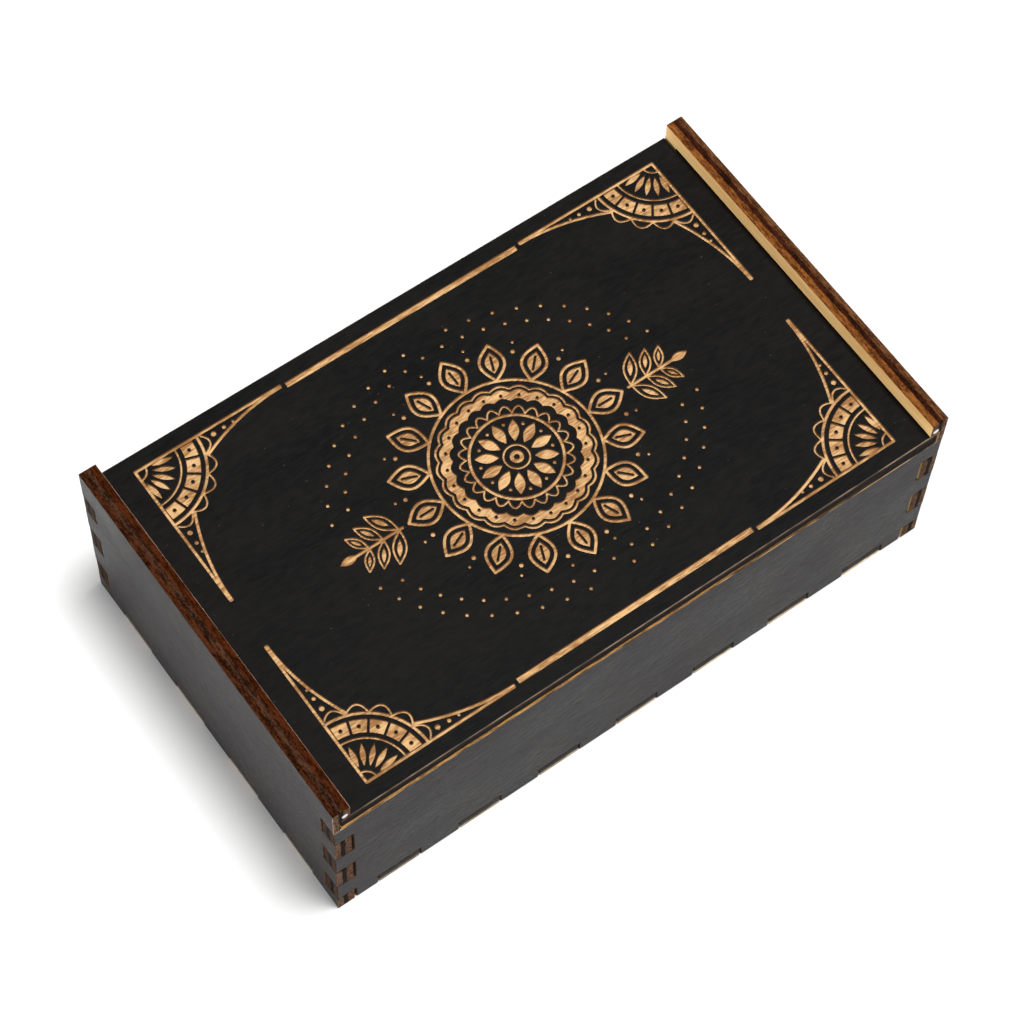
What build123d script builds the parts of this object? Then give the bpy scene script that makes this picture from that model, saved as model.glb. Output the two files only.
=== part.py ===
"""Finger-jointed plywood deck box with an engraved lid that slides out along its short side.

Millimetres. The origin is at the centre of the underside, +X runs along the length,
-Y is the side that the lid slides out of, and +Z is up.
"""
from build123d import *
import os

# Overall sizes
box_length = 150.0
box_width = 89.2
long_wall_height = 40.3

# Sheet thicknesses
wall_ply = 4.0
bottom_ply = 3.0
lid_ply = 4.0

# Corner finger joints: a short finger at the foot, then equal fingers up to the top of the long walls
foot_finger = 4.6
finger_pitch = 7.3
least_finger = 2.0
finger_end_gap = 0.5
finger_foot_gap = 0.3

# Tabs of the bottom panel, evenly spaced about the middle of each wall
tab_width = 10.0
tab_pitch = 20.0
tab_end_margin = 5.5
tab_side_gap = 0.4
tab_top_gap = 0.4

# Lid and the grooves that it slides in
groove_depth = 2.4
groove_stop = 4.0
lid_under_gap = 0.1
lid_over_gap = 0.2
lid_end_gap = 0.3
lid_side_gap = 0.2
rail_height = 4.2

# Metal pins in the front end grain of the rails
pin_radius = 0.7
pin_length = 3.0
pin_from_outside = 2.8
pin_above_groove = 1.3

# Sizes that follow
half_length = box_length / 2
half_width = box_width / 2
inner_half_length = half_length - wall_ply
inner_half_width = half_width - wall_ply
groove_bottom = long_wall_height
lid_bottom = groove_bottom + lid_under_gap
lid_top = lid_bottom + lid_ply
groove_top = lid_top + lid_over_gap
end_wall_height = groove_top + rail_height
lid_half_length = inner_half_length + groove_depth - lid_end_gap
groove_back = half_width - groove_stop
notch_height = bottom_ply + tab_top_gap


def finger_levels():
    """Heights where the corner fingers change over, from the foot to the top of the long walls."""
    levels = [0.0, foot_finger]
    while levels[-1] + finger_pitch < long_wall_height - least_finger:
        levels.append(levels[-1] + finger_pitch)
    return levels + [long_wall_height]


def fingers(first):
    """Every second finger as (bottom, top), counted from the foot: 0 the end walls', 1 the long walls'."""
    levels = finger_levels()
    return list(zip(levels, levels[1:]))[first::2]


def tab_centres(inner_span):
    """Places of the bottom panel's tabs along a wall whose clear inside length is inner_span."""
    room = inner_span / 2 - tab_end_margin
    steps = int((room - tab_width / 2) / (tab_pitch / 2))
    first = -steps * tab_pitch / 2
    return [first + i * tab_pitch for i in range(steps + 1)]


long_tabs = tab_centres(2 * inner_half_length)
end_tabs = tab_centres(2 * inner_half_width)


def cut_tab_notches(centres):
    """Notches along the foot of a wall drawn in the current sketch, open below, for the panel's tabs."""
    with Locations(*[(centre, notch_height / 2) for centre in centres]):
        Rectangle(tab_width + tab_side_gap, notch_height, mode=Mode.SUBTRACT)


def long_wall_outline():
    """Long wall seen from the front: full length, cut away at both ends where the end walls' fingers pass."""
    with Locations((0, long_wall_height / 2)):
        Rectangle(box_length, long_wall_height)
    cut_width = wall_ply + finger_end_gap
    for low, high in fingers(0):
        for side in (-1, 1):
            with Locations((side * (half_length - cut_width / 2), (low + high + finger_foot_gap) / 2)):
                Rectangle(cut_width, high - low + finger_foot_gap, mode=Mode.SUBTRACT)
    cut_tab_notches(long_tabs)


def end_wall_outline():
    """End wall seen from its end: cut away at both corners where the long walls' fingers pass."""
    with Locations((0, end_wall_height / 2)):
        Rectangle(box_width, end_wall_height)
    cut_width = wall_ply + finger_end_gap
    for low, high in fingers(1):
        for side in (-1, 1):
            with Locations((side * (half_width - cut_width / 2), (low + high) / 2)):
                Rectangle(cut_width, high - low, mode=Mode.SUBTRACT)
    cut_tab_notches(end_tabs)


def groove_section():
    """The lid's groove seen from the end: open at the front, stopped at the back."""
    length = groove_back + half_width
    height = groove_top - groove_bottom
    with Locations((groove_back - length / 2, groove_bottom + height / 2)):
        Rectangle(length, height)


pin_x = half_length - pin_from_outside
pin_z = groove_top + pin_above_groove

# Looking along +Y, sketch x is +X and sketch y is +Z. Its normal points to -Y.
front_plane = Plane(origin=(0, -half_width, 0), x_dir=(1, 0, 0), z_dir=(0, -1, 0))
back_plane = Plane(origin=(0, inner_half_width, 0), x_dir=(1, 0, 0), z_dir=(0, -1, 0))
# Sketch x is +Y and sketch y is +Z. The normal points to +X.
left_plane = Plane(origin=(-half_length, 0, 0), x_dir=(0, 1, 0), z_dir=(1, 0, 0))
left_groove_plane = left_plane.offset(wall_ply - groove_depth)
right_plane = Plane(origin=(inner_half_length, 0, 0), x_dir=(0, 1, 0), z_dir=(1, 0, 0))

with BuildPart() as front_wall:
    with BuildSketch(front_plane):
        long_wall_outline()
    extrude(amount=-wall_ply)

with BuildPart() as back_wall:
    with BuildSketch(back_plane):
        long_wall_outline()
    extrude(amount=-wall_ply)

with BuildPart() as left_end_wall:
    with BuildSketch(left_plane):
        end_wall_outline()
    extrude(amount=wall_ply)
    with BuildSketch(left_groove_plane):
        groove_section()
    extrude(amount=groove_depth, mode=Mode.SUBTRACT)
    with BuildSketch(front_plane):
        with Locations((-pin_x, pin_z)):
            Circle(pin_radius)
    extrude(amount=-pin_length, mode=Mode.SUBTRACT)

with BuildPart() as right_end_wall:
    with BuildSketch(right_plane):
        end_wall_outline()
    extrude(amount=wall_ply)
    with BuildSketch(right_plane):
        groove_section()
    extrude(amount=groove_depth, mode=Mode.SUBTRACT)
    with BuildSketch(front_plane):
        with Locations((pin_x, pin_z)):
            Circle(pin_radius)
    extrude(amount=-pin_length, mode=Mode.SUBTRACT)

with BuildPart() as bottom_panel:
    with BuildSketch(Plane.XY):
        Rectangle(2 * inner_half_length, 2 * inner_half_width)
        with Locations(*[(centre, 0) for centre in long_tabs]):
            Rectangle(tab_width, box_width)
        with Locations(*[(0, centre) for centre in end_tabs]):
            Rectangle(box_length, tab_width)
    extrude(amount=bottom_ply)

with BuildPart() as lid_panel:
    with BuildSketch(Plane.XY.offset(lid_bottom)):
        Rectangle(2 * lid_half_length, box_width)
        corner_length = lid_half_length - inner_half_length + lid_side_gap
        corner_width = groove_stop + lid_side_gap
        for side in (-1, 1):
            with Locations((side * (lid_half_length - corner_length / 2), half_width - corner_width / 2)):
                Rectangle(corner_length, corner_width, mode=Mode.SUBTRACT)
    extrude(amount=lid_ply)

with BuildPart() as left_rail_pin:
    with BuildSketch(front_plane):
        with Locations((-pin_x, pin_z)):
            Circle(pin_radius)
    extrude(amount=-pin_length)

with BuildPart() as right_rail_pin:
    with BuildSketch(front_plane):
        with Locations((pin_x, pin_z)):
            Circle(pin_radius)
    extrude(amount=-pin_length)

pieces = {
    "front_wall": front_wall,
    "back_wall": back_wall,
    "left_end_wall": left_end_wall,
    "right_end_wall": right_end_wall,
    "bottom_panel": bottom_panel,
    "lid_panel": lid_panel,
    "left_rail_pin": left_rail_pin,
    "right_rail_pin": right_rail_pin,
}

os.makedirs("parts", exist_ok=True)
for name, piece in pieces.items():
    piece.part.label = name
    export_step(piece.part, f"parts/{name}.step")
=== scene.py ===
"""Card deck box: finger-jointed birch plywood, stained black outside, with an engraved lid that slides."""
import math

import bmesh
import bpy
import numpy as np
from mathutils import Matrix, Vector
from mathutils.geometry import delaunay_2d_cdt


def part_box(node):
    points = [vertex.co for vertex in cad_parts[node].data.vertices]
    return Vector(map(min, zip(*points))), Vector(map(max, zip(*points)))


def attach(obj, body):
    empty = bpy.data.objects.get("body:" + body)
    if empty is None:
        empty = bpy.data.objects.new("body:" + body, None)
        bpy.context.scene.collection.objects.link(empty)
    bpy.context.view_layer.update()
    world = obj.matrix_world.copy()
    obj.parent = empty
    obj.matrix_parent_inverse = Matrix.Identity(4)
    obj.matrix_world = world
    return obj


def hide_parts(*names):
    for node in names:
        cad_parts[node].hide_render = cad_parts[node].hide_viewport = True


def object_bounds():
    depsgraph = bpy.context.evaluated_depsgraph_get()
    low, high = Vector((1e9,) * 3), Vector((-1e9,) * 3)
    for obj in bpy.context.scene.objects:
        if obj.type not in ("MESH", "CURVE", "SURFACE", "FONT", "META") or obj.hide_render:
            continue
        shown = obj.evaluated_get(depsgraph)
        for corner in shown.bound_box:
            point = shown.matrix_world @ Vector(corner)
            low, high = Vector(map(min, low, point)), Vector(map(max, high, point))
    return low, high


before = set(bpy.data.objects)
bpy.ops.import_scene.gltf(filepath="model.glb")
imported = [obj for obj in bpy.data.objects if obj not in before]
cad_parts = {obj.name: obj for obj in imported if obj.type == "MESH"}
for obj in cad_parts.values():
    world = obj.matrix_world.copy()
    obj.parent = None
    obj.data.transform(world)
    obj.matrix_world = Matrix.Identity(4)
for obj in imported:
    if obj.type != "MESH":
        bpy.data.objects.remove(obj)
cad_low, cad_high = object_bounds()
MM = 0.001


# ---------------------------------------------------------------- materials

def srgb(text):
    """An sRGB hex colour as linear RGBA."""
    channels = [int(text[i:i + 2], 16) / 255 for i in (0, 2, 4)]
    linear = [c / 12.92 if c <= 0.04045 else ((c + 0.055) / 1.055) ** 2.4 for c in channels]
    return (*linear, 1.0)


def add(tree, kind, inputs=None, **settings):
    """Adds a shader node, sets it up and links or fills its sockets."""
    node = tree.nodes.new("ShaderNode" + kind)
    for name, value in settings.items():
        setattr(node, name, value)
    for socket, value in (inputs or {}).items():
        if isinstance(value, bpy.types.NodeSocket):
            tree.links.new(value, node.inputs[socket])
        else:
            node.inputs[socket].default_value = value
    return node


def new_material(name):
    """An empty material with its shader joined to the output. Returns (material, tree, shader)."""
    material = bpy.data.materials.new(name)
    material.use_nodes = True
    tree = material.node_tree
    tree.nodes.clear()
    shader = add(tree, "BsdfPrincipled")
    add(tree, "OutputMaterial", {"Surface": shader.outputs[0]})
    return material, tree, shader


def stretched(tree, along, across, grain):
    """Coordinates whose unit is one fibre: along mm in the grain's direction and across mm in the other two.

    Birch fibres are really some 0.03 mm wide. They are drawn ten times as wide, so that they show.
    """
    lengths = [along if axis == grain else across for axis in "XYZ"]
    place = add(tree, "TexCoord").outputs["Object"]
    scale = [1 / (length * MM) for length in lengths]
    return add(tree, "VectorMath", {0: place, 1: scale}, operation="MULTIPLY").outputs[0]


def black_stain(name, grain, depth, shade, light, dull, gloss):
    """Birch veneer stained black: the fibres stay as short marks, with a slow cloud and a little dust.

    depth is the relief of the fibres in mm, shade and light the stain where it is thick and thin, dull the
    middle of its roughness and gloss the strength of its reflection.
    """
    material, tree, shader = new_material(name)
    fibres = add(tree, "TexNoise", {"Vector": stretched(tree, 2.4, 0.28, grain), "Scale": 1, "Detail": 4})
    cloud = add(tree, "TexNoise", {"Vector": stretched(tree, 26, 12, grain), "Scale": 1, "Detail": 4})
    specks = add(tree, "TexNoise", {"Vector": stretched(tree, 0.55, 0.55, grain), "Scale": 1, "Detail": 0})
    blotch = add(tree, "TexNoise", {"Vector": stretched(tree, 3.2, 1.3, grain), "Scale": 1, "Detail": 3})
    both = add(tree, "Math", {0: fibres.outputs[0], 1: cloud.outputs[0]}, operation="ADD")
    all_three = add(tree, "Math", {0: both.outputs[0], 1: blotch.outputs[0]}, operation="ADD")
    factor = add(tree, "MapRange", {0: all_three.outputs[0], 1: 1.2, 2: 1.8})
    stain = add(tree, "Mix", {0: factor.outputs[0], 6: srgb(shade), 7: srgb(light)}, data_type="RGBA")
    few = add(tree, "MapRange", {0: specks.outputs[0], 1: 0.855, 2: 0.9})
    colour = add(tree, "Mix", {0: few.outputs[0], 6: stain.outputs[2], 7: srgb("4a4846")}, data_type="RGBA")
    uneven = add(tree, "MapRange", {0: both.outputs[0], 1: 0.75, 2: 1.25, 3: dull - 0.1, 4: dull + 0.1})
    relief = add(tree, "Bump", {"Height": both.outputs[0], "Distance": depth * MM, "Strength": 1.0})
    tree.links.new(colour.outputs[2], shader.inputs["Base Color"])
    tree.links.new(uneven.outputs[0], shader.inputs["Roughness"])
    tree.links.new(relief.outputs[0], shader.inputs["Normal"])
    shader.inputs["Specular IOR Level"].default_value = gloss
    return material


# How far in mm the border between two plies wanders in all, and how far to each side it is blurred
PLY_WANDER = 0.7
PLY_BLUR = 0.1


def charred_edge(name, thickness_axis, outer_face, sign, grain, plies, ends=(1.35, 2.45), fade=None):
    """The laser-cut edge of three-ply birch: two browned face veneers and a charred core, all mottled.

    plies holds a light and a dark colour for each ply, counted from outer_face, and ends where the first
    two stop in mm. outer_face is in metres, and sign is the way from it into the sheet. With fade the last
    ply keeps its own colours at the first X in mm and takes the core's at the second.
    """
    material, tree, shader = new_material(name)
    place = add(tree, "TexCoord").outputs["Object"]
    parts = add(tree, "SeparateXYZ", {0: place})
    depth = add(tree, "MapRange", {0: parts.outputs["XYZ".index(thickness_axis)], 1: outer_face,
                                   2: outer_face + sign * MM, 3: 0.0, 4: 1.0}, clamp=False)
    wander = add(tree, "TexNoise", {"Vector": stretched(tree, 3, 1.2, grain), "Scale": 1, "Detail": 3})
    ply = add(tree, "Math", {0: wander.outputs[0], 1: PLY_WANDER, 2: depth.outputs[0]},
              operation="MULTIPLY_ADD")
    streaks = add(tree, "TexNoise", {"Vector": stretched(tree, 2.2, 0.28, grain), "Scale": 1, "Detail": 5})
    scorch = add(tree, "TexNoise", {"Vector": stretched(tree, 5, 0.9, grain), "Scale": 1, "Detail": 4})
    pores = add(tree, "TexNoise", {"Vector": stretched(tree, 0.6, 0.3, grain), "Scale": 1, "Detail": 3})
    tone = add(tree, "Math", {0: streaks.outputs[0], 1: scorch.outputs[0]}, operation="MULTIPLY")
    spotted = add(tree, "Math", {0: pores.outputs[0], 1: 0.5, 2: tone.outputs[0]}, operation="MULTIPLY_ADD")
    brown = add(tree, "MapRange", {0: spotted.outputs[0], 1: 0.4, 2: 0.62})
    stripes = []
    for light, dark in plies:
        stripe = add(tree, "Mix", {0: brown.outputs[0], 6: srgb(dark), 7: srgb(light)}, data_type="RGBA")
        stripes.append(stripe.outputs[2])
    if fade:
        burnt = add(tree, "MapRange", {0: parts.outputs["X"], 1: fade[0] * MM, 2: fade[1] * MM})
        stripes[2] = add(tree, "Mix", {0: burnt.outputs[0], 6: stripes[2], 7: stripes[1]},
                         data_type="RGBA").outputs[2]
    colour = stripes[0]
    for end, stripe in zip(ends, stripes[1:]):
        border = end + PLY_WANDER / 2
        past = add(tree, "MapRange", {0: ply.outputs[0], 1: border - PLY_BLUR, 2: border + PLY_BLUR})
        colour = add(tree, "Mix", {0: past.outputs[0], 6: colour, 7: stripe}, data_type="RGBA").outputs[2]
    rough = add(tree, "Math", {0: pores.outputs[0], 1: streaks.outputs[0]}, operation="ADD")
    relief = add(tree, "Bump", {"Height": rough.outputs[0], "Distance": 0.15 * MM, "Strength": 0.8})
    tree.links.new(colour, shader.inputs["Base Color"])
    tree.links.new(relief.outputs[0], shader.inputs["Normal"])
    shader.inputs["Roughness"].default_value = 0.6
    shader.inputs["Specular IOR Level"].default_value = 0.02
    return material


def raw_birch(name, grain):
    """Sanded birch veneer left bare: pale honey, with fine darker fibres and slow bands."""
    material, tree, shader = new_material(name)
    fibres = add(tree, "TexNoise", {"Vector": stretched(tree, 9, 0.3, grain), "Scale": 1, "Detail": 4})
    bands = add(tree, "TexNoise", {"Vector": stretched(tree, 40, 3, grain), "Scale": 1, "Detail": 3})
    tone = add(tree, "Math", {0: fibres.outputs[0], 1: bands.outputs[0]}, operation="ADD")
    factor = add(tree, "MapRange", {0: tone.outputs[0], 1: 0.7, 2: 1.3})
    colour = add(tree, "Mix", {0: factor.outputs[0], 6: srgb("f6d292"), 7: srgb("e0ae68")}, data_type="RGBA")
    relief = add(tree, "Bump", {"Height": fibres.outputs[0], "Distance": 0.02 * MM})
    tree.links.new(colour.outputs[2], shader.inputs["Base Color"])
    tree.links.new(relief.outputs[0], shader.inputs["Normal"])
    shader.inputs["Roughness"].default_value = 0.6
    return material


def worn_and_lit_arris(name, grain, wood="c8a276", stain="3a2a20"):
    """Corners rubbed through the stain: pale brown wood with the stain left in patches, partly a painted
    highlight.
    """
    material, tree, shader = new_material(name)
    patches = add(tree, "TexNoise", {"Vector": stretched(tree, 5, 1.5, grain), "Scale": 1, "Detail": 4})
    worn = add(tree, "MapRange", {0: patches.outputs[0], 1: 0.38, 2: 0.62})
    colour = add(tree, "Mix", {0: worn.outputs[0], 6: srgb(stain), 7: srgb(wood)}, data_type="RGBA")
    tree.links.new(colour.outputs[2], shader.inputs["Base Color"])
    shader.inputs["Roughness"].default_value = 0.6
    return material


def ground_steel(name):
    """Ground steel pin ends: bright, with a soft highlight."""
    material, tree, shader = new_material(name)
    grind = add(tree, "TexNoise", {"Vector": stretched(tree, 0.8, 0.15, "X"), "Scale": 1, "Detail": 2})
    dull = add(tree, "MapRange", {0: grind.outputs[0], 3: 0.18, 4: 0.36})
    tree.links.new(dull.outputs[0], shader.inputs["Roughness"])
    shader.inputs["Base Color"].default_value = srgb("d8d6d2")
    shader.inputs["Metallic"].default_value = 1.0
    return material


# ---------------------------------------------------------------- plywood pieces

# Places in a piece's list of materials. The fifth is for a rail's top and the painted shade on its left
# arris, or for the lid's engraving.
OUTER, INNER, CUT_EDGE, WORN_AND_LIT, FIFTH = range(5)

# What counts as one point, as one plane and as a sharp edge
SAME_POINT = 0.001 * MM
ONE_PLANE = math.radians(1)
SHARP = math.radians(40)

# How much of a face's normal lies along an axis that it looks straight along, leans towards or passes by
SQUARE_ON = 0.99
LEANING = 0.3
SIDE_ON = 0.1

# How far sharp edges are eased. On the walls only those from just under the lid up are rubbed by hands.
ARRIS = 0.2 * MM
PIN_ARRIS = 0.1 * MM
RUBBED_FROM = 40 * MM

WALL_STAIN = {"depth": 0.16, "shade": "0f0d0d", "light": "272323", "dull": 0.32, "gloss": 0.044}
LID_STAIN = {"depth": 0.05, "shade": "0e0d0d", "light": "181716", "dull": 0.5, "gloss": 0.055}


def eased_copy(node, piece_name, arris):
    """A mesh with the CAD node's exact shape and its sharp edges eased by arris metres."""
    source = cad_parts[node].data
    shape = bmesh.new()
    shape.from_mesh(source)
    bmesh.ops.remove_doubles(shape, verts=shape.verts, dist=SAME_POINT)
    bmesh.ops.dissolve_limit(shape, angle_limit=ONE_PLANE, verts=shape.verts, edges=shape.edges)
    sharp = [e for e in shape.edges if len(e.link_faces) == 2 and e.calc_face_angle() > SHARP]
    bmesh.ops.bevel(shape, geom=sharp, offset=arris, segments=1, affect="EDGES", clamp_overlap=True)
    mesh = bpy.data.meshes.new(piece_name)
    shape.to_mesh(mesh)
    shape.free()
    piece = bpy.data.objects.new(piece_name, mesh)
    bpy.context.scene.collection.objects.link(piece)
    return piece


def finish_piece(piece, node, body, materials, choose):
    """Gives each face its material, ties the piece to its body and hides the CAD node it stands for."""
    for material in materials:
        piece.data.materials.append(material)
    for face in piece.data.polygons:
        face.material_index = choose(face)
    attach(piece, body)
    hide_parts(node)


def sheet_faces(axis, outward, rubbed_from=0.0):
    """Tells a sheet's outer face, the one behind it, its cut edges and its arrises apart.

    Only the arrises round the two faces get the worn and lit colour, from the height rubbed_from up. Others
    are cut edges.
    """
    def choose(face):
        lean = face.normal[axis] * outward
        if lean > SQUARE_ON:
            return OUTER
        if lean < -SQUARE_ON:
            return INNER
        straight = max(abs(c) for c in face.normal) > SQUARE_ON
        return CUT_EDGE if straight or abs(lean) < SIDE_ON or face.center.z < rubbed_from else WORN_AND_LIT
    return choose


def make_long_wall(node, outward):
    """A long wall, whose grain runs along X."""
    low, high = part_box(node)
    outer_face = low.y if outward < 0 else high.y
    piece = eased_copy(node, node + "_ply", ARRIS)
    end_grain = [("523a2a", "140c07"), ("120b07", "060403"), ("483022", "140c07")]
    materials = [
        black_stain(node + "_black_stain", "X", **WALL_STAIN),
        raw_birch(node + "_raw_birch", "X"),
        charred_edge(node + "_charred_edge", "Y", outer_face, -outward, "X", end_grain),
        worn_and_lit_arris(node + "_worn_and_lit_arris", "X"),
    ]
    finish_piece(piece, node, "box", materials, sheet_faces(1, outward, RUBBED_FROM))


def make_end_wall(node, outward, rail_top, arris_wear_and_light):
    """An end wall, whose grain runs along Y. The top of its rail is browner than its fingers.

    rail_top holds the colours of the rail's plies, and arris_wear_and_light the wood and the stain of its
    arrises, worn and painted pale as a highlight.
    """
    low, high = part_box(node)
    outer_face = low.x if outward < 0 else high.x
    piece = eased_copy(node, node + "_ply", ARRIS)
    end_grain = [("85644c", "22140c"), ("140b07", "060403"), ("76543c", "1e110a")]
    materials = [
        black_stain(node + "_black_stain", "Y", **WALL_STAIN),
        raw_birch(node + "_raw_birch", "Y"),
        charred_edge(node + "_charred_edge", "X", outer_face, -outward, "Y", end_grain),
        worn_and_lit_arris(node + "_worn_and_lit_arris", "Y", *arris_wear_and_light),
        charred_edge(node + "_rail_top", "X", outer_face, -outward, "Y", rail_top),
    ]
    sheet = sheet_faces(0, outward, RUBBED_FROM)

    def choose(face):
        # Painted light from +X: the arris along the left of a rail gets its top's dark colour as painted
        # shade, and the one along its right gets the pale arris colour as a painted highlight.
        shaded_left_arris = face.normal.z > LEANING and face.normal.x < -LEANING
        at_top = face.center.z > high.z - 2 * ARRIS
        return FIFTH if at_top and (shaded_left_arris or face.normal.z > SQUARE_ON) else sheet(face)

    finish_piece(piece, node, "box", materials, choose)


def make_bottom():
    """The bottom panel: raw birch both sides. The lowest ply of its tab ends is painted near white as light,
    most at +X.
    """
    piece = eased_copy("bottom_panel", "bottom_panel_ply", ARRIS)
    _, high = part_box("bottom_panel")
    # Painted light: the lowest ply is near white where light reaches the foot of the box, fading out towards
    # -X.
    tab_end_with_light = [("454241", "302e2d"), ("3c3a39", "2a2827"), ("efe2c8", "b99d78")]
    materials = [
        raw_birch("bottom_raw_birch", "X"),
        raw_birch("bottom_raw_birch_inside", "X"),
        charred_edge("bottom_tab_end_char_and_light", "Z", high.z, -1, "X", tab_end_with_light, (0.9, 1.75), fade=(50, -130)),
    ]
    finish_piece(piece, "bottom_panel", "box", materials, sheet_faces(2, -1, math.inf))


def make_pin(node):
    """A steel pin, pressed flush into the end grain of a rail."""
    piece = eased_copy(node, node + "_steel", PIN_ARRIS)
    finish_piece(piece, node, "box", [ground_steel(node + "_ground_steel")], lambda face: OUTER)


# ---------------------------------------------------------------- engraving
# A plain geometric ornament in millimetres and degrees: a rosette struck from the middle of the lid, a leaf
# spray at each end of it, two rings of beads, a quarter fan in each corner and two border bars. One quarter
# is drawn, with a little past both axes, and mirrored.

lid_low, lid_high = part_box("lid_panel")
HALF_LENGTH, HALF_WIDTH = (lid_high - lid_low).xy / 2 / MM

# The grid of distances: its step, how far round a shape it is filled in, and what stands for far away
CELL = 0.1
REACH = 0.5
FAR = 9.0

# Widths of a strong line, of a fine one and of a line left standing
LINE = 0.72
FINE = 0.5
GAP = 0.42

# Where a quarter fan is struck from, and how long its arms are
CORNER = (64.6, 40.75)
ARM = 34.6

# The cut: its depth, and the distances where its wall starts, where it ends and where the burn has faded
CUT_DEPTH = 0.32
RIM, WALL_FOOT, BURN_END = 0.0, -0.06, -0.15

# A point this near the line through its neighbours is left out, and so is a loop of fewer cells than these
SLACK = 0.008
LEAST_CELLS = 6


def polar(radius, degrees, centre=(0.0, 0.0)):
    """Points at these radii and angles about a centre."""
    radius, angle = np.broadcast_arrays(np.asarray(radius, float), np.radians(degrees))
    return np.stack([centre[0] + radius * np.cos(angle), centre[1] + radius * np.sin(angle)], axis=-1)


def ring(radius, start=-4.0, end=94.0, centre=(0.0, 0.0), lobes=0, depth=0.0):
    """An arc in steps of some 0.2 mm, or in finer ones with this many scallops to the full circle."""
    degrees = np.linspace(start, end, max(12, int(abs(end - start) * radius / 12)) * (3 if lobes else 1))
    swell = depth * np.abs(np.sin(np.radians(degrees) * lobes / 2)) if lobes else 0.0
    return polar(radius + swell, degrees, centre)


def leaf(root, tip, width):
    """A pointed leaf between two points."""
    root, tip = np.asarray(root, float), np.asarray(tip, float)
    along = tip - root
    across = np.array([-along[1], along[0]]) / np.linalg.norm(along)
    t = np.linspace(0, 1, 19)[:, None]
    bulge = across * width / 2 * np.sin(math.pi * t)
    return np.concatenate([root + along * t + bulge, (root + along * t - bulge)[-2:0:-1]])


def closed(outline):
    """The outline with its first point again at its end."""
    return np.concatenate([outline, outline[:1]])


class Engraving:
    """Signed distance in mm to what the laser removes, below zero inside it, over one quarter of the lid."""

    def __init__(self):
        self.xs = np.arange(0, HALF_LENGTH + CELL / 2, CELL)
        self.ys = np.arange(0, HALF_WIDTH + CELL / 2, CELL)
        self.field = np.full((len(self.ys), len(self.xs)), FAR)

    def window(self, points, reach):
        """The part of the grid within reach of some points, as (rows, columns, x, y)."""
        low, high = points.min(0) - reach, points.max(0) + reach
        cols = slice(*np.searchsorted(self.xs, [low[0], high[0]]))
        rows = slice(*np.searchsorted(self.ys, [low[1], high[1]]))
        return rows, cols, self.xs[None, cols], self.ys[rows, None]

    def merge(self, rows, cols, distance, keep):
        """Cuts a shape out of the surface, or with keep leaves it standing."""
        part = self.field[rows, cols]
        self.field[rows, cols] = np.maximum(part, -distance) if keep else np.minimum(part, distance)

    def stroke(self, line, width, keep=False):
        """A line of one width with round ends."""
        line = np.asarray(line, float)
        for a, b in zip(line, line[1:]):
            rows, cols, x, y = self.window(np.array([a, b]), width / 2 + REACH)
            run = b - a
            t = np.clip(((x - a[0]) * run[0] + (y - a[1]) * run[1]) / (run @ run), 0, 1)
            distance = np.hypot(x - a[0] - t * run[0], y - a[1] - t * run[1]) - width / 2
            self.merge(rows, cols, distance, keep)

    def dot(self, place, diameter, keep=False):
        """A round dot."""
        place = np.asarray(place, float)
        rows, cols, x, y = self.window(place[None], diameter / 2 + REACH)
        self.merge(rows, cols, np.hypot(x - place[0], y - place[1]) - diameter / 2, keep)

    def fill(self, outline, keep=False):
        """The inside of a closed outline."""
        corners = np.asarray(outline, float)
        rows, cols, x, y = self.window(corners, REACH)
        nearest = np.full(np.broadcast(x, y).shape, FAR ** 2)
        inside = np.zeros(nearest.shape, bool)
        for a, b in zip(corners, np.roll(corners, -1, axis=0)):
            run = b - a
            t = np.clip(((x - a[0]) * run[0] + (y - a[1]) * run[1]) / (run @ run), 0, 1)
            nearest = np.minimum(nearest, (x - a[0] - t * run[0]) ** 2 + (y - a[1] - t * run[1]) ** 2)
            if a[1] != b[1]:
                inside ^= ((a[1] > y) != (b[1] > y)) & (x < run[0] * (y - a[1]) / run[1] + a[0])
        distance = np.sqrt(nearest)
        self.merge(rows, cols, np.where(inside, -distance, distance), keep)

    def band(self, inner, outer):
        """The filled strip between two lines that run the same way."""
        self.fill(np.concatenate([inner, outer[::-1]]))

    def whole(self):
        """The distances over the whole lid, mirrored both ways, with their x and y."""
        half = np.concatenate([self.field[:0:-1], self.field])
        full = np.concatenate([half[:, :0:-1], half], axis=1)
        xs = np.concatenate([-self.xs[:0:-1], self.xs])
        ys = np.concatenate([-self.ys[:0:-1], self.ys])
        return full, xs, ys


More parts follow.
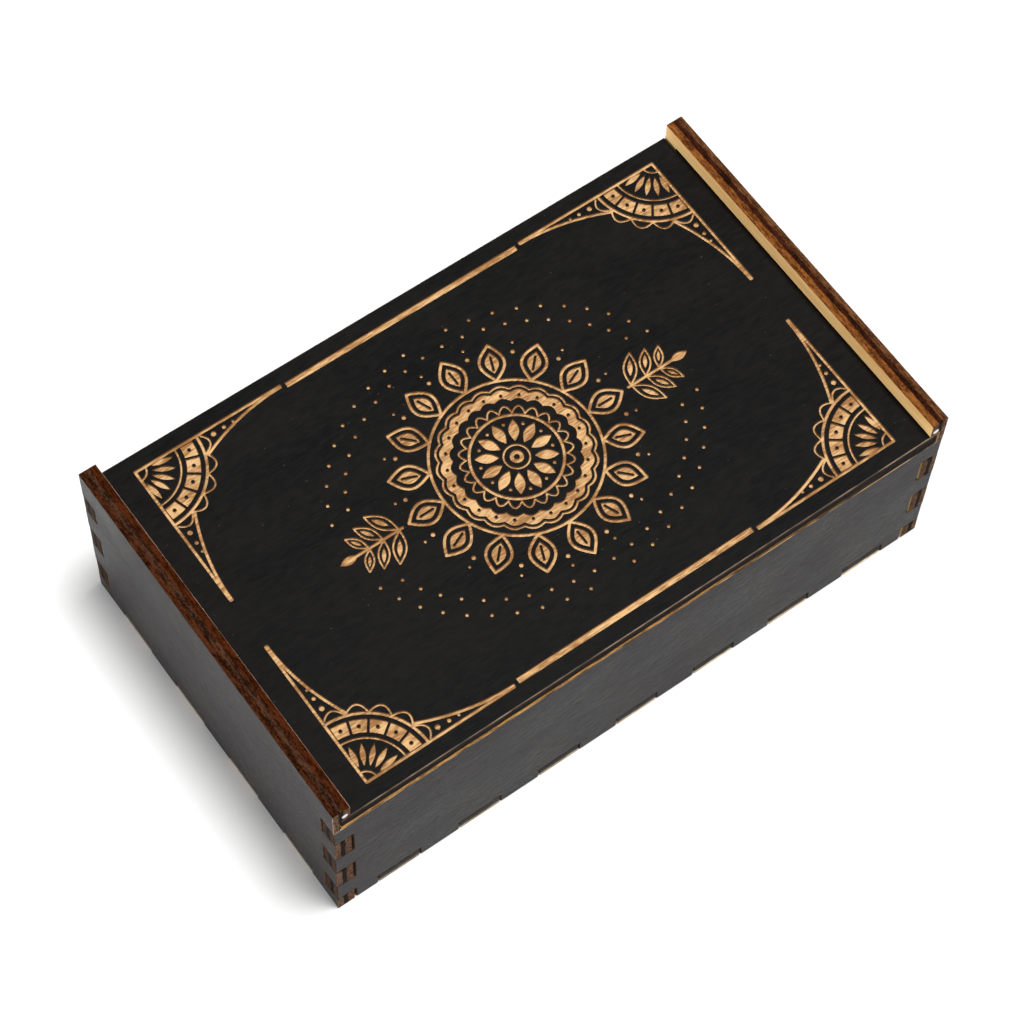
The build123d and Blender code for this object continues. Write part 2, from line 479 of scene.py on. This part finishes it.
def cut_rosette(cut):
    """Rings, petals and scallops struck from the middle of the lid."""
    # A disc with a dot left standing in its middle, and a ring round it
    cut.dot((0, 0), 3.0)
    cut.dot((0, 0), 1.1, keep=True)
    cut.stroke(ring(2.7), FINE)
    # Twelve petals, with a dot between each two
    for angle in range(-30, 121, 30):
        cut.fill(leaf(polar(3.5, angle), polar(8.7, angle), 2.3))
        cut.dot(polar(7.7, angle + 15), 0.8)
    # A ring, a ring of scallops, and a scalloped band with a line and dots left standing in it
    cut.stroke(ring(9.6), LINE)
    cut.stroke(ring(10.2, lobes=24, depth=1.5), FINE)
    cut.band(ring(12.8, lobes=24, depth=0.7), ring(16.0, lobes=24, depth=0.7))
    cut.stroke(ring(15.2, lobes=24, depth=0.7), GAP, keep=True)
    for angle in np.arange(-7.5, 100, 15):
        cut.dot(polar(14.3, angle), 0.6, keep=True)
    # A ring with sixteen pointed leaves on it, and two dots between each two
    cut.stroke(ring(17.8), LINE)
    for angle in np.arange(-22.5, 113, 22.5):
        cut.stroke(closed(leaf(polar(18.0, angle), polar(26.4, angle), 5.2)), LINE)
        cut.fill(leaf(polar(19.6, angle), polar(24.8, angle), 3.0))
        cut.stroke([polar(20.6, angle), polar(23.6, angle)], GAP, keep=True)
        cut.dot(polar(24.4, angle + 11.25), 1.0)
        cut.dot(polar(26.6, angle + 11.25), 0.7)


def cut_spray(cut):
    """A stem on the long axis with three pairs of leaves and a bud."""
    cut.stroke([(28.0, 0), (39.0, 0)], LINE)
    for x, length in ((28.8, 7.4), (32.6, 6.2), (36.0, 5.0)):
        root = np.array([x, 0.2])
        tip = root + polar(length, 56)
        cut.stroke(closed(leaf(root, tip, 0.36 * length)), FINE)
        cut.fill(leaf(root + 0.25 * (tip - root), root + 0.82 * (tip - root), 0.16 * length))
    cut.fill(leaf((38.6, 0), (43.0, 0), 1.9))


def cut_beads(cut):
    """Two rings of small beads round the ornament, the outer ring's beads between the inner one's."""
    for long_radius, short_radius, first in ((36.5, 29.6, 18.75), (40.5, 32.6, 15.0)):
        for angle in np.radians(np.arange(first, 90, 7.5)):
            cut.dot((long_radius * math.cos(angle), short_radius * math.sin(angle)), 0.8)


def cut_corner(cut):
    """A quarter fan struck from the corner, with an arm along each edge that tapers to a point."""
    x, y = CORNER
    cut.stroke([(x - ARM, y), (x, y), (x, y - ARM)], LINE)
    for swap in (False, True):
        def place(along, inward):
            """A point so far from the corner along one edge, and so far in from that edge."""
            return (x - inward, y - along) if swap else (x - along, y - inward)
        # The arm's inner edge bends in from the fan to the arm's point, and three dots shrink along the arm.
        start = 14.2
        shares = np.linspace(0, 1, 24)
        cut.stroke([place(start + (ARM - start) * t, 0.3 + 4.6 * (1 - t) ** 2) for t in shares], LINE)
        for along, size in ((17.6, 1.2), (20.2, 0.95), (22.4, 0.7)):
            cut.dot(place(along, 1.62 - 0.05 * (along - 17)), size)

    # The fan's outer ring with scallops on it
    cut.stroke(ring(14.4, 180, 270, CORNER), LINE)
    cut.stroke(ring(14.6, 182, 268, CORNER, lobes=20, depth=1.7), FINE)
    # A band parted into five, each with a dot left standing, and a leaf inside each
    cut.band(ring(10.3, 182, 268, CORNER), ring(13.2, 182, 268, CORNER))
    for angle in range(189, 270, 18):
        cut.dot(polar(11.75, angle, CORNER), 0.7, keep=True)
        cut.fill(leaf(polar(3.3, angle, CORNER), polar(8.3, angle, CORNER), 1.25))
    for angle in range(198, 260, 18):
        cut.stroke([polar(10.0, angle, CORNER), polar(13.6, angle, CORNER)], GAP, keep=True)
    # The rings along the leaves' tips and roots
    cut.stroke(ring(9.2, 180, 270, CORNER), FINE)
    cut.stroke(ring(2.3, 180, 270, CORNER), FINE)


def cut_ornament():
    """The whole ornament as (distances, x, y) over the lid."""
    cut = Engraving()
    cut_rosette(cut)
    cut_spray(cut)
    cut_beads(cut)
    cut_corner(cut)
    # The right half of the border bar
    cut.fill([(-1, 39.5), (28.8, 39.5), (28.8, 40.85), (-1, 40.85)])
    return cut.whole()


def thinned(loop, slack):
    """A closed loop without the points that lie within slack mm of the line through those left."""
    count = len(loop)
    ring_points = closed(loop)
    keep = np.zeros(count + 1, bool)
    keep[[0, count // 2, count]] = True
    spans = [(0, count // 2), (count // 2, count)]
    while spans:
        first, last = spans.pop()
        if last - first < 2:
            continue
        run = ring_points[last] - ring_points[first]
        away = ring_points[first + 1:last] - ring_points[first]
        off = np.abs(away[:, 0] * run[1] - away[:, 1] * run[0]) / max(np.linalg.norm(run), 1e-9)
        worst = int(off.argmax())
        if off[worst] > slack:
            middle = first + 1 + worst
            keep[middle] = True
            spans += [(first, middle), (middle, last)]
    return loop[keep[:count]]


def contours(field, xs, ys, level):
    """Closed loops where the field crosses a level, by marching squares with the cut side on the left."""
    height, width = field.shape
    below = field < level
    flat = np.arange(height * width).reshape(height, width)
    upright = flat + height * width
    corners = [below[:-1, :-1], below[:-1, 1:], below[1:, 1:], below[1:, :-1]]
    sides = [flat[:-1, :-1], upright[:-1, 1:], flat[1:, :-1], upright[:-1, :-1]]
    leaves = [corners[k] & ~corners[(k + 1) % 4] for k in range(4)]
    enters = [~corners[k] & corners[(k + 1) % 4] for k in range(4)]
    follow = {}
    for k in range(4):
        open_cells = leaves[k].copy()
        for back in (1, 2, 3):
            side = (k - back) % 4
            match = open_cells & enters[side]
            follow.update(zip(sides[k][match].tolist(), sides[side][match].tolist()))
            open_cells &= ~enters[side]
    loops = []
    while follow:
        first, step = follow.popitem()
        chain = [first]
        while step != first:
            chain.append(step)
            step = follow.pop(step)
        ids = np.array(chain)
        up = ids >= height * width
        row, col = np.divmod(ids % (height * width), width)
        here, there = field[row, col], field[row + up, col + ~up]
        share = (level - here) / (there - here)
        places = np.stack([xs[col] + share * CELL * ~up, ys[row] + share * CELL * up], axis=-1)
        if len(chain) >= LEAST_CELLS:
            loops.append(thinned(places, SLACK))
    return [loop for loop in loops if len(loop) > 2]


# ---------------------------------------------------------------- lid

def engraved_birch(name):
    """Bare birch at the bottom of the laser's cut: toasted gold, burnt brown along the cut's walls."""
    material, tree, shader = new_material(name)
    burn = add(tree, "Attribute", attribute_name="burn").outputs["Fac"]
    fibres = add(tree, "TexNoise", {"Vector": stretched(tree, 2.2, 0.32, "X"), "Scale": 1, "Detail": 5})
    bands = add(tree, "TexNoise", {"Vector": stretched(tree, 9, 3, "X"), "Scale": 1, "Detail": 4})
    tone = add(tree, "Math", {0: fibres.outputs[0], 1: bands.outputs[0]}, operation="ADD")
    factor = add(tree, "MapRange", {0: tone.outputs[0], 1: 0.83, 2: 1.17})
    wood = add(tree, "Mix", {0: factor.outputs[0], 6: srgb("e2b67e"), 7: srgb("986838")}, data_type="RGBA")
    singe = add(tree, "Math", {0: burn, 1: 0.9}, operation="MULTIPLY")
    colour = add(tree, "Mix", {0: singe.outputs[0], 6: wood.outputs[2], 7: srgb("6a4826")}, data_type="RGBA")
    relief = add(tree, "Bump", {"Height": fibres.outputs[0], "Distance": 0.06 * MM})
    tree.links.new(colour.outputs[2], shader.inputs["Base Color"])
    tree.links.new(relief.outputs[0], shader.inputs["Normal"])
    shader.inputs["Roughness"].default_value = 0.65
    shader.inputs["Specular IOR Level"].default_value = 0.25
    return material


def engrave_top(mesh):
    """Swaps the lid's flat top for one with the ornament cut into it, and marks how burnt each point is."""
    shape = bmesh.new()
    shape.from_mesh(mesh)
    burn = shape.verts.layers.float.new("burn")
    top = max((f for f in shape.faces if f.normal.z > SQUARE_ON), key=lambda f: f.calc_area())
    rim = list(top.verts)
    surface = rim[0].co.z
    bmesh.ops.delete(shape, geom=[top], context="FACES_ONLY")
    field, xs, ys = cut_ornament()
    points = [v.co.xy / MM for v in rim]
    edges = [(k, (k + 1) % len(rim)) for k in range(len(rim))]
    levels = [None] * len(rim)
    for level in (RIM, WALL_FOOT, BURN_END):
        for loop in contours(field, xs, ys, level):
            first = len(points)
            points += [Vector(place) for place in loop]
            edges += [(first + k, first + (k + 1) % len(loop)) for k in range(len(loop))]
            levels += [level] * len(loop)
    within_outline, tolerance = 1, 1e-5
    outline = [list(range(len(rim)))]
    places, _, triangles, sources, _, _ = delaunay_2d_cdt(points, edges, outline, within_outline, tolerance)
    made = []
    for place, source in zip(places, sources):
        if source and source[0] < len(rim):
            made.append(rim[source[0]])
            continue
        level = levels[source[0]] if source else RIM
        depth = 0.0 if level == RIM else CUT_DEPTH * MM
        vert = shape.verts.new((place.x * MM, place.y * MM, surface - depth))
        vert[burn] = 0.0 if level == BURN_END else 1.0
        made.append(vert)
    for triangle in triangles:
        x, y = (sum(places[k][axis] for k in triangle) / 3 for axis in (0, 1))
        face = shape.faces.new([made[k] for k in triangle])
        inside = field[round((y - ys[0]) / CELL), round((x - xs[0]) / CELL)] < 0.0
        low = min(made[k].co.z for k in triangle) < surface - SAME_POINT
        face.material_index = FIFTH if inside or low else OUTER
    shape.normal_update()
    shape.to_mesh(mesh)
    shape.free()


def make_lid():
    """The sliding lid: stained on top, engraved through the stain, raw below, with charred cut edges."""
    piece = eased_copy("lid_panel", "lid_panel_ply", ARRIS)
    # The lowest ply's bright gold is bare veneer, brightened as a painted highlight along the lid's edge.
    edge = [("30221a", "0f0906"), ("140c07", "060303"), ("d09a4c", "5e3614")]
    materials = [
        black_stain("lid_black_stain", "X", **LID_STAIN),
        raw_birch("lid_raw_birch", "X"),
        charred_edge("lid_charred_edge", "Z", lid_high.z, -1, "X", edge, (1.2, 2.75), fade=(0, 60)),
        worn_and_lit_arris("lid_worn_and_lit_arris", "X", "7d6a58"),
        engraved_birch("laser_toasted_birch"),
    ]
    finish_piece(piece, "lid_panel", "lid", materials, sheet_faces(2, 1))
    engrave_top(piece.data)


# ---------------------------------------------------------------- scene

def make_floor():
    """A wide pale sheet under the box."""
    bpy.ops.mesh.primitive_plane_add(size=6, location=(0, 0, cad_low.z))
    floor = bpy.context.object
    floor.name = "floor"
    material, tree, shader = new_material("pale_paper")
    tooth = add(tree, "TexNoise", {"Vector": stretched(tree, 1, 1, "X"), "Scale": 1, "Detail": 2})
    tint = add(tree, "Mix", {0: tooth.outputs[0], 6: srgb("f4f4f3"), 7: srgb("f8f8f8")}, data_type="RGBA")
    tree.links.new(tint.outputs[2], shader.inputs["Base Color"])
    shader.inputs["Roughness"].default_value = 0.9
    shader.inputs["Specular IOR Level"].default_value = 0.1
    floor.data.materials.append(material)


def make_lamp(kind, name, place, **settings):
    """A lamp at place in metres, turned towards the origin. Its settings are Blender's own."""
    data = bpy.data.lights.new(name, kind)
    for setting, value in settings.items():
        setattr(data, setting, value)
    lamp = bpy.data.objects.new(name, data)
    lamp.location = place
    lamp.rotation_euler = (-Vector(place)).to_track_quat("-Z", "Y").to_euler()
    bpy.context.scene.collection.objects.link(lamp)


def make_camera():
    """The camera: above the near left corner, rolled a little, long lens."""
    place = (-0.18534, -0.23139, 0.59199)
    forward = Vector((0.28725, 0.3595, -0.88783))
    right = Vector((0.81115, -0.58427, 0.02585))
    up = right.cross(forward)
    data = bpy.data.cameras.new("camera")
    data.sensor_width = 36.0
    data.lens = 108.97
    camera = bpy.data.objects.new("camera", data)
    turn = Matrix((right, up, -forward)).transposed().to_4x4()
    camera.matrix_world = Matrix.Translation(place) @ turn
    bpy.context.scene.collection.objects.link(camera)
    bpy.context.scene.camera = camera


def make_world():
    """A white room with a dim ceiling: bright round the horizon and grey overhead."""
    world = bpy.data.worlds.new("studio")
    bpy.context.scene.world = world
    world.use_nodes = True
    tree = world.node_tree
    way = add(tree, "SeparateXYZ", {0: add(tree, "TexCoord").outputs["Generated"]})
    strength = add(tree, "MapRange", {0: way.outputs["Z"], 1: 0.15, 2: 0.55, 3: 1.0, 4: 0.2})
    background = tree.nodes["Background"]
    background.inputs["Color"].default_value = srgb("ffffff")
    tree.links.new(strength.outputs[0], background.inputs["Strength"])


bpy.context.scene.view_settings.view_transform = "Standard"
make_camera()
make_world()
make_floor()
make_lamp("SUN", "key", (0.2, -0.15, 1.3), energy=3.1, angle=math.radians(19))
make_lamp("AREA", "side", (-1.2, -0.1, 0.2), energy=8, size=0.5)
make_long_wall("front_wall", -1)
make_long_wall("back_wall", 1)
# The last pair for each end wall is its arris colours, pale partly as a painted highlight.
make_end_wall("left_end_wall", -1, [("502a16", "1a0800"), ("4e3222", "1a0d07"), ("4e240e", "220a00")],
              ("f0ccb2", "a87858"))
make_end_wall("right_end_wall", 1, [("70492c", "3c200e"), ("421f10", "180803"), ("905728", "4a240b")],
              ("c09a78", "6a4428"))
make_bottom()
make_pin("left_rail_pin")
make_pin("right_rail_pin")
make_lid()
